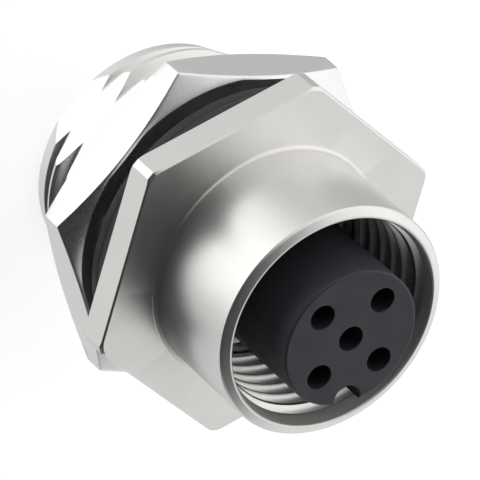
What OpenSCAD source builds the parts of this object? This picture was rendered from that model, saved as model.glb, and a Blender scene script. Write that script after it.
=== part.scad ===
// Panel-mounted circular connector, size M12, with five socket contacts.
// The connector's axis is Z. It stands on the rear end of its barrel, and its mating face looks up.
// Both of the housing's threads are drawn as rings, at their real pitch, depth and flank angle.
// The lock nut's bore is left plain and clears their crests, so that it can slide along the barrel.

/* [Rear barrel] */
// Diameter over the crests of the rear mounting thread
barrel_d = 15.2; // [14.8:0.1:15.8]
// Depth of that thread, to which the barrel's rear end is chamfered
barrel_thread_depth = 0.67; // [0.5:0.01:0.8]
// Thickness of the barrel's wall under the thread
barrel_wall = 0.88; // [0.7:0.02:1.2]
// Pitch of the rear thread
barrel_pitch = 1.41; // [1.2:0.01:1.6]
// Angle between the flanks of the rear thread, in degrees
barrel_thread_angle = 80; // [60:1:84]
// Height at which the first turn of the rear thread starts, on the chamfer
barrel_thread_start = 0.58; // [0.3:0.02:1.2]
// Plain length of the barrel behind the flange, where its thread has run out
barrel_runout = 0.9; // [0.8:0.05:2]
// Axial length of the lead-in taper at the barrel's rear end
barrel_chamfer_len = 2.3; // [0.6:0.1:3]
// Depth below the thread's crests of the flat that keys the barrel in its panel
barrel_flat_depth = 0.8; // [0.5:0.05:1]
// Length of the barrel, from its rear end to the back of the flange
barrel_len = 10.7; // [9.8:0.1:13]
// Width of the small chamfer at the mouth of the barrel's bore
barrel_bore_chamfer = 0.25; // [0.1:0.05:0.4]

/* [Flange] */
// Width of the flange's ledge outside the barrel, at the middle of each flat
flange_ledge = 1.7; // [1.6:0.05:3]
// How much of the hexagon's corners is turned off
flange_turn_off = 0.19; // [0.1:0.01:0.6]
// Thickness of the flange
flange_t = 1.9; // [1.5:0.1:3]
// Size of the broken edge at the hexagon's corners
flange_edge = 0.25; // [0.1:0.05:0.5]
// Radius of the fillet between the flange and the sleeve
sleeve_fillet = 0.5; // [0.2:0.1:1]

/* [Coupling sleeve] */
// Length of the sleeve in front of the flange
sleeve_len = 6.9; // [6:0.1:9]
// Thickness of the sleeve's wall at the rim, outside the mouth
rim_wall = 0.55; // [0.4:0.05:1]
// Width of the bevel round the outside of the rim
rim_bevel = 0.16; // [0.05:0.01:0.3]
// Width of the bevel inside the mouth
mouth_bevel = 0.3; // [0.1:0.05:0.5]
// Height of the step from the smooth lead-in to the crests of the coupling thread
lead_in_step = 0.5; // [0.4:0.05:0.6]
// Depth from the rim at which the coupling thread starts
lead_in_len = 0.95; // [0.7:0.05:1.6]
// Diameter over the crests of the coupling thread
coupling_crest_d = 11.15; // [10.9:0.05:11.2]
// Depth of the coupling thread
coupling_thread_depth = 0.44; // [0.36:0.01:0.46]
// Pitch of the coupling thread
coupling_pitch = 1; // [0.9:0.05:1.1]
// Angle between the flanks of the coupling thread, in degrees
coupling_thread_angle = 60; // [50:1:66]
// Plain length of the socket in front of its floor, where the thread has run out
coupling_runout = 0.8; // [0.6:0.05:2]
// Depth of the socket from its rim to its floor
socket_depth = 8.3; // [7.8:0.1:9.5]
// Thickness of the web that closes the floor of the socket round the insert
web_t = 1.2; // [0.8:0.1:1.6]

/* [Contact insert] */
// Diameter of the insert's nose
nose_d = 8.2; // [8:0.05:8.3]
// How far the nose stands out past the rim of the sleeve
nose_proud = 1.73; // [0:0.01:2]
// Width of the bevel round the face of the nose
nose_bevel = 0.12; // [0.05:0.01:0.3]
// Diameter of the pilot that centres the insert in the web
pilot_d = 8.8; // [8.6:0.1:9.4]
// Length of the shoulder that seats behind the web
shoulder_len = 2.3; // [2.1:0.1:2.6]
// Radius of the coding groove along the nose
key_r = 0.8; // [0.6:0.05:0.9]
// Distance of the coding groove's centre from the axis
key_centre = 3.8; // [3.6:0.05:4]
// Angle of the coding groove about the axis
key_angle = -45; // [-60:1:-30]
// Height at which the groove starts above the socket's floor
key_start = 0.4; // [0.2:0.1:3]

/* [Contacts] */
// Diameter of the circle on which the outer contacts lie
pitch_circle_d = 5.3; // [5.2:0.05:5.5]
// Number of contacts on that circle
ring_contacts = 4;
// Diameter of each contact hole in the insert
contact_hole_d = 1.45; // [1.4:0.05:1.55]
// Depth from the insert's face to the front of each contact
contact_recess = 1.6; // [1:0.1:2.5]
// Diameter of the pin that each contact takes
pin_d = 1; // [0.9:0.05:1.05]
// Depth of the socket in each contact
contact_socket_depth = 5.2; // [4.6:0.1:6]
// Width of the slot that makes each socket springy
contact_slot_w = 0.2; // [0.15:0.05:0.3]
// Length of that slot
contact_slot_len = 4.2; // [3.5:0.1:4.4]
// Diameter of the collar that holds each contact
collar_d = 2; // [1.8:0.05:2.1]
// Thickness of the collar
collar_t = 0.5; // [0.4:0.05:0.8]
// Diameter of each solder cup
cup_d = 1.5; // [1.4:0.05:1.6]
// Bore of each solder cup
cup_bore_d = 1.05; // [0.9:0.05:1.1]
// Length of each solder cup behind the retainer
cup_len = 2.2; // [1.8:0.1:3]
// Thickness of the floor that closes each solder cup
cup_floor_t = 0.3; // [0.2:0.1:0.6]
// Length of the cup's side that is cut away for the wire
cup_cut_len = 0.9; // [0.6:0.1:1.4]

/* [Insert's rear parts] */
// Thickness of the contact retainer
retainer_t = 1.2; // [1:0.1:1.4]
// Thickness of the retaining ring behind it
ring_t = 1; // [0.8:0.1:1.2]
// Radial width of the retaining ring
ring_w = 1.15; // [0.8:0.05:1.5]
// Section diameter of the seal round the insert
seal_section_d = 1; // [0.8:0.05:1.1]
// Width by which the seal's groove is wider than the seal
seal_groove_play = 0.2; // [0.1:0.05:0.4]

/* [Lock nut and gasket] */
// Thickness of the lock nut's wall outside the thread, at the middle of each flat
nut_wall = 1.55; // [1.4:0.05:2.5]
// Thickness of the lock nut
nut_t = 2.73; // [2.4:0.01:3.2]
// Gap between the nut and the gasket, where the panel goes
nut_gap = 0.82; // [0.1:0.02:4]
// Turn of the nut about the axis from the flange's own position
nut_turn = 31.6; // [0:0.2:60]
// Height of the bevel at the nut's corners
nut_bevel_h = 0.7; // [0.4:0.05:0.9]
// How far inside the flats the bevel starts
nut_face_step = 0.075; // [0.025:0.025:0.6]
// Radial width of the countersink at each end of the nut's thread
nut_countersink = 0.35; // [0.2:0.05:0.5]
// Radial width of the panel gasket
gasket_w = 1.3; // [1.1:0.05:1.5]
// Thickness of the panel gasket
gasket_t = 1.48; // [1:0.02:2.4]
// Width of the gasket's broken edges
gasket_edge = 0.18; // [0.05:0.01:0.4]

/* [Clearances] */
// Radial clearance between the lock nut and the barrel
nut_clearance = 0.05; // [0.02:0.01:0.09]
// Radial clearance of the insert in the housing
insert_clearance = 0.05; // [0.02:0.01:0.08]
// Radial clearance of each contact in the insert
contact_clearance = 0.05; // [0.03:0.01:0.08]
// Radial clearance of each contact socket over its pin
pin_clearance = 0.015; // [0.01:0.005:0.03]
// Radial clearance between the gasket and the barrel
gasket_clearance = 0.1; // [0.05:0.01:0.2]

/* [Hidden] */
$fn = 96;
eps = 0.01;
small_fn = 48;
// Width of the flat at the root of a thread, as a share of its pitch
root_share = 0.1;
// How far a cone that cuts an edge is carried past it, as a share of the cone's own size
cone_margin = 0.1;

barrel_core_d = barrel_d - 2 * barrel_thread_depth;
barrel_bore_d = barrel_core_d - 2 * barrel_wall;
flange_af = barrel_d + 2 * flange_ledge;
flange_turned_d = flange_af / cos(30) - 2 * flange_turn_off;
barrel_thread_len = barrel_len - barrel_runout - barrel_thread_start;
lead_in_d = coupling_crest_d + 2 * lead_in_step;
mouth_d = lead_in_d + 2 * mouth_bevel;
sleeve_d = mouth_d + 2 * rim_wall;
ring_bore_d = barrel_bore_d - 2 * ring_w;
flange_z = barrel_len;
sleeve_z = flange_z + flange_t;
rim_z = sleeve_z + sleeve_len;
floor_z = rim_z - socket_depth;
coupling_thread_z = rim_z - lead_in_len - lead_in_step;
coupling_thread_len = coupling_thread_z - floor_z - coupling_runout;
web_z = floor_z - web_t;
nose_z = rim_z + nose_proud;
shoulder_z = web_z - shoulder_len;
retainer_z = shoulder_z - retainer_t;
ring_z = retainer_z - ring_t;
shoulder_d = barrel_bore_d - 2 * insert_clearance;
contact_d = contact_hole_d - 2 * contact_clearance;
contact_z = nose_z - contact_recess;
collar_z = shoulder_z + collar_t;
cup_z = retainer_z - cup_len;
flange_core_d = (coupling_crest_d + sleeve_d) / 2;
web_bore_d = pilot_d + 2 * insert_clearance;
seal_groove_w = seal_section_d + seal_groove_play;
seal_groove_z = shoulder_z + shoulder_len / 2;
gasket_z = flange_z - gasket_t;
nut_z = gasket_z - nut_gap - nut_t;
nut_af = barrel_d + 2 * nut_wall;
nut_corner_r = nut_af / 2 / cos(30);
nut_bore_d = barrel_d + 2 * nut_clearance;
gasket_bore_d = barrel_d + 2 * gasket_clearance;
gasket_d = gasket_bore_d + 2 * gasket_w;

nickel = [0.78, 0.77, 0.74];
bright_nickel = [0.88, 0.88, 0.88];
charcoal = [0.23, 0.22, 0.25];
black = [0.06, 0.06, 0.06];
gold = [0.86, 0.7, 0.34];

// A hexagonal prism, given by its width across flats, with two corners on the X axis
module hex_prism(af, h) {
    cylinder(r = af / 2 / cos(30), h = h, $fn = 6);
}

// Profile of a thread of this length, as whole rings that follow one another from height z on.
// A root_r above crest_r cuts an inner thread, and a way of -1 leads downwards.
function thread_rings(crest_r, root_r, z, length, pitch, angle, way = 1) =
    let (
        root = root_share * pitch / 2,
        mouth = root + abs(crest_r - root_r) * tan(angle / 2)
    )
    [for (i = [1:floor(length / pitch)])
        for (step = [[crest_r, -mouth], [root_r, -root], [root_r, root], [crest_r, mouth]])
            [step[0], z + way * ((i - 0.5) * pitch + step[1])]];

// The turned outline of the housing, and its stepped bore, as one revolved section
module housing_section() {
    polygon(concat(
        [
            [barrel_bore_d / 2 + barrel_bore_chamfer, 0],
            [barrel_d / 2, 0]
        ],
        thread_rings(barrel_d / 2, barrel_core_d / 2, barrel_thread_start, barrel_thread_len,
                     barrel_pitch, barrel_thread_angle),
        [
            [barrel_d / 2, flange_z + flange_edge],
            [sleeve_d / 2, flange_z + flange_edge],
            [sleeve_d / 2, rim_z - rim_bevel],
            [sleeve_d / 2 - rim_bevel, rim_z],
            [mouth_d / 2, rim_z],
            [lead_in_d / 2, rim_z - mouth_bevel],
            [lead_in_d / 2, rim_z - lead_in_len],
            [coupling_crest_d / 2, coupling_thread_z]
        ],
        thread_rings(coupling_crest_d / 2, coupling_crest_d / 2 + coupling_thread_depth, coupling_thread_z,
                     coupling_thread_len, coupling_pitch, coupling_thread_angle, -1),
        [
            [coupling_crest_d / 2, floor_z],
            [web_bore_d / 2, floor_z],
            [web_bore_d / 2, web_z],
            [barrel_bore_d / 2, web_z],
            [barrel_bore_d / 2, barrel_bore_chamfer]
        ]
    ));
}

// The section that the lead-in taper takes off the barrel's rear end, down to the core of its thread
module chamfer_section() {
    polygon([
        [barrel_core_d / 2 - cone_margin * barrel_thread_depth, -cone_margin * barrel_chamfer_len],
        [barrel_d / 2 + barrel_thread_depth, -cone_margin * barrel_chamfer_len],
        [barrel_d / 2 + cone_margin * barrel_thread_depth, (1 + cone_margin) * barrel_chamfer_len]
    ]);
}

// The flat along the barrel's -X side, which fits the flat side of the panel's hole
module barrel_flat() {
    translate([-barrel_d, -barrel_d / 2, -1])
        cube([barrel_d / 2 + barrel_flat_depth, barrel_d, flange_z + 1]);
}

// The section that turns the flange's corners down and breaks their edges
module flange_section() {
    polygon([
        [flange_core_d / 2, 0],
        [flange_turned_d / 2 - flange_edge, 0],
        [flange_turned_d / 2, flange_edge],
        [flange_turned_d / 2, flange_t - flange_edge],
        [flange_turned_d / 2 - flange_edge, flange_t],
        [flange_core_d / 2, flange_t]
    ]);
}

// The fillet at the foot of the sleeve
module fillet_section() {
    difference() {
        translate([sleeve_d / 2 - eps, sleeve_z - eps])
            square(sleeve_fillet + eps);
        translate([sleeve_d / 2 + sleeve_fillet, sleeve_z + sleeve_fillet])
            circle(r = sleeve_fillet, $fn = small_fn);
    }
}

// One turned piece: threaded barrel with its flat, hexagonal flange and coupling sleeve
module housing() {
    color(nickel)
    difference() {
        union() {
            rotate_extrude()
                difference() {
                    housing_section();
                    chamfer_section();
                }
            translate([0, 0, flange_z])
                intersection() {
                    difference() {
                        hex_prism(flange_af, flange_t);
                        translate([0, 0, -1])
                            cylinder(d = flange_core_d, h = flange_t + 2);
                    }
                    rotate_extrude()
                        flange_section();
                }
            rotate_extrude()
                fillet_section();
        }
        barrel_flat();
    }
}

// Hexagonal lock nut, bevelled on both faces and countersunk at both ends of its thread
module lock_nut() {
    face_r = nut_af / 2 - nut_face_step;
    cone_r = face_r + (1 + cone_margin) * (nut_corner_r - face_r);
    cone_h = (1 + cone_margin) * nut_bevel_h;
    color(bright_nickel)
    translate([0, 0, nut_z])
        difference() {
            intersection() {
                rotate([0, 0, nut_turn])
                    hex_prism(nut_af, nut_t);
                rotate_extrude()
                    polygon([
                        [0, 0],
                        [face_r, 0],
                        [cone_r, cone_h],
                        [cone_r, nut_t - cone_h],
                        [face_r, nut_t],
                        [0, nut_t]
                    ]);
            }
            translate([0, 0, -1])
                cylinder(d = nut_bore_d, h = nut_t + 2);
            translate([0, 0, -eps])
                cylinder(d1 = nut_bore_d + 2 * (nut_countersink + eps), d2 = nut_bore_d,
                         h = nut_countersink + eps);
            translate([0, 0, nut_t - nut_countersink])
                cylinder(d1 = nut_bore_d, d2 = nut_bore_d + 2 * (nut_countersink + eps),
                         h = nut_countersink + eps);
        }
}

// Flat rubber ring that seals the flange against the panel
module panel_gasket() {
    color(black)
    rotate_extrude()
        translate([0, gasket_z])
            polygon([
                [gasket_bore_d / 2, 0],
                [gasket_d / 2 - gasket_edge, 0],
                [gasket_d / 2, gasket_edge],
                [gasket_d / 2, gasket_t - gasket_edge],
                [gasket_d / 2 - gasket_edge, gasket_t],
                [gasket_bore_d / 2, gasket_t]
            ]);
}

// Places its children on each contact's axis, the last one on the connector's own axis
module at_contact(i) {
    if (i < ring_contacts)
        rotate([0, 0, i * 360 / ring_contacts])
            translate([pitch_circle_d / 2, 0, 0])
                children();
    else
        children();
}

// Moulded insert: nose with the coding groove, pilot in the web, and shoulder with the seal's groove
module contact_insert() {
    color(charcoal)
    difference() {
        rotate_extrude()
            polygon([
                [0, shoulder_z],
                [shoulder_d / 2, shoulder_z],
                [shoulder_d / 2, seal_groove_z - seal_groove_w / 2],
                [shoulder_d / 2 - seal_section_d + eps, seal_groove_z - seal_groove_w / 2],
                [shoulder_d / 2 - seal_section_d + eps, seal_groove_z + seal_groove_w / 2],
                [shoulder_d / 2, seal_groove_z + seal_groove_w / 2],
                [shoulder_d / 2, web_z],
                [pilot_d / 2, web_z],
                [pilot_d / 2, floor_z],
                [nose_d / 2, floor_z],
                [nose_d / 2, nose_z - nose_bevel],
                [nose_d / 2 - nose_bevel, nose_z],
                [0, nose_z]
            ]);
        rotate([0, 0, key_angle])
            translate([key_centre, 0, floor_z + key_start])
                cylinder(r = key_r, h = socket_depth + nose_proud);
        for (i = [0 : ring_contacts])
            at_contact(i) {
                translate([0, 0, shoulder_z - 1])
                    cylinder(d = contact_hole_d, h = nose_z - shoulder_z + 2, $fn = small_fn);
                translate([0, 0, shoulder_z - 1])
                    cylinder(d = collar_d + 2 * contact_clearance, h = 1 + collar_t, $fn = small_fn);
            }
    }
}

// Rubber ring between the insert's shoulder and the barrel's bore
module insert_seal() {
    color(black)
    rotate_extrude()
        translate([barrel_bore_d / 2 - seal_section_d / 2, seal_groove_z])
            circle(d = seal_section_d, $fn = small_fn);
}

// Moulded disc that traps the contacts' collars in the insert
module contact_retainer() {
    color(charcoal)
    difference() {
        translate([0, 0, retainer_z])
            cylinder(d = shoulder_d, h = retainer_t);
        for (i = [0 : ring_contacts])
            at_contact(i)
                translate([0, 0, retainer_z - 1])
                    cylinder(d = cup_d + 2 * contact_clearance, h = retainer_t + 2, $fn = small_fn);
    }
}

// Metal ring pressed into the barrel behind the retainer
module retaining_ring() {
    color(bright_nickel)
    translate([0, 0, ring_z])
        difference() {
            cylinder(d = barrel_bore_d, h = ring_t);
            translate([0, 0, -1])
                cylinder(d = ring_bore_d, h = ring_t + 2);
        }
}

// Turned contact: slotted socket at the front, collar, and solder cup at the rear
module contact(i) {
    socket_d = pin_d + 2 * pin_clearance;
    cup_depth = cup_len - cup_floor_t;
    color(gold)
    at_contact(i)
        difference() {
            union() {
                translate([0, 0, collar_z - eps])
                    cylinder(d = contact_d, h = contact_z - collar_z + eps, $fn = small_fn);
                translate([0, 0, shoulder_z])
                    cylinder(d = collar_d, h = collar_t, $fn = small_fn);
                translate([0, 0, cup_z])
                    cylinder(d = cup_d, h = shoulder_z - cup_z + eps, $fn = small_fn);
            }
            translate([0, 0, contact_z - contact_socket_depth])
                cylinder(d = socket_d, h = contact_socket_depth + 1, $fn = small_fn);
            translate([-contact_d, -contact_slot_w / 2, contact_z - contact_slot_len])
                cube([2 * contact_d, contact_slot_w, contact_slot_len + 1]);
            translate([0, 0, cup_z - 1])
                cylinder(d = cup_bore_d, h = cup_depth + 1, $fn = small_fn);
            translate([0, -cup_d, cup_z - 1])
                cube([cup_d, 2 * cup_d, 1 + cup_cut_len]);
        }
}

housing();
lock_nut();
panel_gasket();
contact_insert();
insert_seal();
contact_retainer();
retaining_ring();
contact(0);  // contact_1
contact(1);  // contact_2
contact(2);  // contact_3
contact(3);  // contact_4
contact(4);  // contact_5
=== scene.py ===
"""Finished looks and studio of a panel-mounted circular connector with five socket contacts.

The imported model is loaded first. The housing with its two cut threads, the lock nut, the gasket and the
insert are remodelled over it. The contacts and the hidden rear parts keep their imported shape, and all of
them get their plating, plastic or rubber. Lengths are given in millimetres and made in metres.
"""

import logging
import math
from dataclasses import dataclass, fields
from enum import Enum
from typing import Callable, Iterable, Sequence

import bmesh
import bpy
import numpy as np
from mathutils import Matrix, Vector


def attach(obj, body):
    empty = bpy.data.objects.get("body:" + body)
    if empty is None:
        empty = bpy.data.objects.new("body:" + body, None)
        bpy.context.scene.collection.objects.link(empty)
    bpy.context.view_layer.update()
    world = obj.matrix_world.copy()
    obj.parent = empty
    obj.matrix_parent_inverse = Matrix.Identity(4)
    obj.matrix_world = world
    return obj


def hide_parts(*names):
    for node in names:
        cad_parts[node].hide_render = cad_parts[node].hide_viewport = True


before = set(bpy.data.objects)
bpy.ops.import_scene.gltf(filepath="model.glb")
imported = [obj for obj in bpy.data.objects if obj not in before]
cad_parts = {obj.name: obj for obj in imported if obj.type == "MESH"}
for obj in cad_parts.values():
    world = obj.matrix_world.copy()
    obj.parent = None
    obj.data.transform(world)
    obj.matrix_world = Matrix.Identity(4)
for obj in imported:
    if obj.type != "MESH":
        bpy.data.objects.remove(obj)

LOG = logging.getLogger("connector")
MM = 0.001
# Points round each turned skin, and in each sixth of a hexagonal one
COLUMNS = 240
SECTOR = COLUMNS // 6
# Points nearer than a seam are merged, and edges shorter than a sliver are dissolved
SEAM_MM = 0.002
SLIVER_MM = 0.0005
FINE_SEAM_MM = 0.0005
FINE_SLIVER_MM = 0.0002
# Directions round the axis that differ by less are the same
SAME_DEG = 0.03
# How far a cutting solid reaches past what it cuts
PAST_MM = 1.0

Point = tuple[float, float, float]
Colour = tuple[float, float, float]
Socket = bpy.types.NodeSocket
Loop = np.ndarray
Ridge = Callable[[bmesh.types.BMEdge], bool]

WHITE: Colour = (1.0, 1.0, 1.0)


class Body(Enum):
    """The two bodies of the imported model."""

    CONNECTOR = "connector"
    NUT = "nut"


# Node helpers


class Desk:
    """Lays out one node tree and links its nodes."""

    def __init__(self, tree: bpy.types.NodeTree) -> None:
        """Takes an empty node tree."""
        self.tree = tree

    def add(self, kind: str, **values: object) -> bpy.types.Node:
        """Adds a node.

        Args:
            kind: the node's type name.
            values: attributes to set on the node.

        Returns:
            The new node.
        """
        node = self.tree.nodes.new(kind)
        for name, value in values.items():
            setattr(node, name, value)
        return node

    def feed(self, socket: Socket, value: object) -> None:
        """Links an output to a socket, or sets the socket to a plain value.

        Args:
            socket: the input to feed.
            value: an output or a plain value.
        """
        if isinstance(value, bpy.types.NodeSocket):
            self.tree.links.new(value, socket)
        else:
            socket.default_value = value

    def math(self, operation: str, first: object, second: object = 0.0, third: object = 0.0) -> Socket:
        """Adds a math node.

        Args:
            operation: the operation's name.
            first: first input, a number or an output.
            second: second input.
            third: third input.

        Returns:
            The node's output.
        """
        node = self.add("ShaderNodeMath", operation=operation)
        for socket, value in zip(node.inputs, (first, second, third)):
            self.feed(socket, value)
        return node.outputs[0]

    def ramp(self, value: object, low: object, high: object, out_low: float = 0.0,
             out_high: float = 1.0) -> Socket:
        """Maps a value from one range to another along a smooth curve.

        Args:
            value: the input.
            low: input at which the output is out_low.
            high: input at which the output is out_high.
            out_low: output at low.
            out_high: output at high.

        Returns:
            The mapped value.
        """
        node = self.add("ShaderNodeMapRange", interpolation_type="SMOOTHSTEP")
        for socket, item in zip(node.inputs, (value, low, high, out_low, out_high)):
            self.feed(socket, item)
        return node.outputs[0]

    def blend(self, share: object, first: object, second: object) -> Socket:
        """Mixes two colours.

        Args:
            share: how much of the second shows.
            first: first colour.
            second: second colour.

        Returns:
            The mixed colour.
        """
        node = self.add("ShaderNodeMix", data_type="RGBA", blend_type="MIX")
        self.feed(node.inputs["Factor"], share)
        colours = [s for s in node.inputs if s.type == "RGBA"]
        for socket, value in zip(colours, (first, second)):
            self.feed(socket, (*value, 1.0) if isinstance(value, tuple) else value)
        return next(s for s in node.outputs if s.type == "RGBA")

    def noise(self, vector: Socket, scale: object, detail: float, roughness: float = 0.5) -> Socket:
        """Adds a noise pattern.

        Args:
            vector: where it is looked up.
            scale: how often it repeats along one unit of the vector.
            detail: how many finer layers it has.
            roughness: how strong the finer layers are.

        Returns:
            Its value, from about 0 to 1.
        """
        node = self.add("ShaderNodeTexNoise", noise_dimensions="3D")
        self.feed(node.inputs["Vector"], vector)
        self.feed(node.inputs["Scale"], scale)
        node.inputs["Detail"].default_value = detail
        node.inputs["Roughness"].default_value = roughness
        return node.outputs[0]

    def spot(self) -> Socket:
        """Returns the place on the piece, in its Object coordinates."""
        return self.add("ShaderNodeTexCoord").outputs["Object"]

    def split(self, vector: Socket) -> tuple[Socket, ...]:
        """Splits a vector.

        Args:
            vector: the vector.

        Returns:
            Its X, Y and Z.
        """
        node = self.add("ShaderNodeSeparateXYZ")
        self.feed(node.inputs[0], vector)
        return tuple(node.outputs)

    def square_off_axis(self, x: Socket, y: Socket) -> Socket:
        """Returns the square of the distance from the connector's axis."""
        return self.math("ADD", self.math("MULTIPLY", x, x), self.math("MULTIPLY", y, y))


# Finishes


class ShaderGroup:
    """A shader node group with numbers as its inputs and one as its output."""

    def __init__(self, name: str, inputs: dict[str, float], output: str) -> None:
        """Starts the group.

        Args:
            name: the group's name.
            inputs: name and default of each input.
            output: name of its output.
        """
        self.tree = bpy.data.node_groups.new(name, "ShaderNodeTree")
        face = self.tree.interface
        for label, value in inputs.items():
            face.new_socket(label, in_out="INPUT", socket_type="NodeSocketFloat").default_value = value
        face.new_socket(output, in_out="OUTPUT", socket_type="NodeSocketFloat")
        self.desk = Desk(self.tree)
        self.given = self.desk.add("NodeGroupInput").outputs
        self.result = self.desk.add("NodeGroupOutput").inputs[0]


class Effects:
    """Shader groups that more than one finish uses, built once."""

    def __init__(self) -> None:
        """Builds all the groups."""
        self.grain = self._grain()
        self.turning = self._turning()
        self.clouds = self._clouds()

    @staticmethod
    def _grain() -> bpy.types.NodeTree:
        """Builds a fine grain.

        Returns:
            The group, whose output is a height.
        """
        group = ShaderGroup("fine_grain", {"Size mm": 0.05, "Depth": 1.0}, "Height")
        desk, given = group.desk, group.given
        scale = desk.math("DIVIDE", 1.0 / MM, given["Size mm"])
        height = desk.noise(desk.spot(), scale, detail=2.0, roughness=0.6)
        desk.feed(group.result, desk.math("MULTIPLY", height, given["Depth"]))
        return group.tree

    @staticmethod
    def _turning() -> bpy.types.NodeTree:
        """Builds turning marks: fine rings that change with the radius and along the axis.

        Returns:
            The group, whose output is a height.
        """
        group = ShaderGroup("turning_marks", {"Rings per mm": 12.0, "Depth": 1.0}, "Height")
        desk, given = group.desk, group.given
        x, y, z = desk.split(desk.spot())
        radius = desk.math("SQRT", desk.square_off_axis(x, y))
        rings = desk.math("DIVIDE", given["Rings per mm"], MM)
        along = desk.add("ShaderNodeCombineXYZ")
        desk.feed(along.inputs["X"], desk.math("MULTIPLY", radius, rings))
        desk.feed(along.inputs["Y"], desk.math("MULTIPLY", z, rings))
        height = desk.noise(along.outputs[0], scale=1.0, detail=3.0)
        desk.feed(group.result, desk.math("MULTIPLY", height, given["Depth"]))
        return group.tree

    @staticmethod
    def _clouds() -> bpy.types.NodeTree:
        """Builds soft clouds, as handling leaves them.

        Returns:
            The group, whose output is a mask from about 0 to 1.
        """
        group = ShaderGroup("handling_clouds", {"Size mm": 3.0, "Contrast": 0.5}, "Mask")
        desk, given = group.desk, group.given
        scale = desk.math("DIVIDE", 1.0 / MM, given["Size mm"])
        cloud = desk.noise(desk.spot(), scale, detail=4.0)
        centred = desk.math("SUBTRACT", cloud, 0.5)
        desk.feed(group.result, desk.math("MULTIPLY_ADD", centred, given["Contrast"], 0.5))
        return group.tree

    @staticmethod
    def use(desk: Desk, tree: bpy.types.NodeTree, **values: float) -> Socket:
        """Places a group in a material.

        Args:
            desk: the material's desk.
            tree: the group.
            values: inputs by name, with _ for a blank.

        Returns:
            The group's output.
        """
        node = desk.add("ShaderNodeGroup", node_tree=tree)
        for name, value in values.items():
            desk.feed(node.inputs[name.replace("_", " ")], value)
        return node.outputs[0]


def new_material(name: str, view: Colour) -> tuple[bpy.types.Material, Desk, bpy.types.Node]:
    """Starts a material.

    Args:
        name: its name.
        view: its colour in a plain viewport.

    Returns:
        The material, its desk and its Principled node.
    """
    material = bpy.data.materials.new(name)
    material.use_nodes = True
    material.diffuse_color = (*view, 1.0)
    desk = Desk(material.node_tree)
    return material, desk, material.node_tree.nodes["Principled BSDF"]


def bump(desk: Desk, skin: bpy.types.Node, height: Socket, depth_mm: float, strength: float) -> None:
    """Feeds a height to the shader's normal.

    Args:
        desk: the material's desk.
        skin: the Principled node.
        height: the height, about 0 to 1.
        depth_mm: how deep a height of 1 is.
        strength: share of the bump that shows.
    """
    node = desk.add("ShaderNodeBump")
    node.inputs["Distance"].default_value = depth_mm * MM
    node.inputs["Strength"].default_value = strength
    desk.feed(node.inputs["Height"], height)
    desk.feed(skin.inputs["Normal"], node.outputs[0])


@dataclass(frozen=True)
class DullMouth:
    """The mouth of the socket, which the tool left duller than the rest of the housing.

    It lies inside its radius and above its height, in millimetres. Its edges soften over edge_r and edge_z.
    """

    radius: float
    height: float
    added: float
    edge_r: float = 0.04
    edge_z: float = 0.05

    def over(self, desk: Desk, rough: Socket) -> Socket:
        """Lays the mouth's roughness over the rest.

        Args:
            desk: the material's desk.
            rough: the roughness elsewhere.

        Returns:
            The roughness with the mouth's.
        """
        x, y, z = desk.split(desk.spot())
        outer, inner = self.radius * MM, (self.radius - self.edge_r) * MM
        inside = desk.ramp(desk.square_off_axis(x, y), outer ** 2, inner ** 2)
        above = desk.ramp(z, (self.height - self.edge_z) * MM, (self.height + self.edge_z) * MM)
        return desk.math("MULTIPLY_ADD", desk.math("MULTIPLY", inside, above), self.added, rough)


@dataclass(frozen=True)
class Plating:
    """Plated brass: nickel or gold over a turned surface.

    Soft clouds move its colour and roughness between their two values, and two patterns make its relief.
    """

    name: str
    colour: Colour
    handled: Colour
    roughness: tuple[float, float]
    grain_mm: float
    grain_depth: float
    turned_depth: float
    mouth: DullMouth | None = None
    cloud_mm: float = 2.4
    cloud_contrast: float = 1.5
    cloud_range: tuple[float, float] = (0.2, 0.8)
    rings_per_mm: float = 14.0
    bump_mm: float = 0.004
    bump_share: float = 0.5

    def build(self, effects: Effects) -> bpy.types.Material:
        """Builds the material.

        Args:
            effects: the shared groups.

        Returns:
            The plated material.
        """
        material, desk, skin = new_material(self.name, self.colour)
        skin.inputs["Metallic"].default_value = 1.0
        clouds = effects.use(desk, effects.clouds, Size_mm=self.cloud_mm, Contrast=self.cloud_contrast)
        desk.feed(skin.inputs["Base Color"], desk.blend(clouds, self.colour, self.handled))
        rough = desk.ramp(clouds, *self.cloud_range, *self.roughness)
        desk.feed(skin.inputs["Roughness"], self.mouth.over(desk, rough) if self.mouth else rough)
        grain = effects.use(desk, effects.grain, Size_mm=self.grain_mm, Depth=self.grain_depth)
        marks = effects.use(desk, effects.turning, Rings_per_mm=self.rings_per_mm, Depth=self.turned_depth)
        bump(desk, skin, desk.math("ADD", grain, marks), self.bump_mm, self.bump_share)
        return material


@dataclass(frozen=True)
class Moulding:
    """Moulded plastic or rubber with a fine matte skin, whose colour and roughness change in soft clouds."""

    name: str
    colour: Colour
    handled: Colour
    roughness: tuple[float, float]
    grain_mm: float
    bump_mm: float
    cloud_mm: float = 1.6
    cloud_contrast: float = 1.8
    cloud_range: tuple[float, float] = (0.2, 0.8)
    bump_share: float = 0.7

    def build(self, effects: Effects) -> bpy.types.Material:
        """Builds the material.

        Args:
            effects: the shared groups.

        Returns:
            The moulded material.
        """
        material, desk, skin = new_material(self.name, self.colour)
        clouds = effects.use(desk, effects.clouds, Size_mm=self.cloud_mm, Contrast=self.cloud_contrast)
        desk.feed(skin.inputs["Base Color"], desk.blend(clouds, self.colour, self.handled))
        desk.feed(skin.inputs["Roughness"], desk.ramp(clouds, *self.cloud_range, *self.roughness))
        grain = effects.use(desk, effects.grain, Size_mm=self.grain_mm, Depth=1.0)
        bump(desk, skin, grain, self.bump_mm, self.bump_share)
        return material


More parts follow.
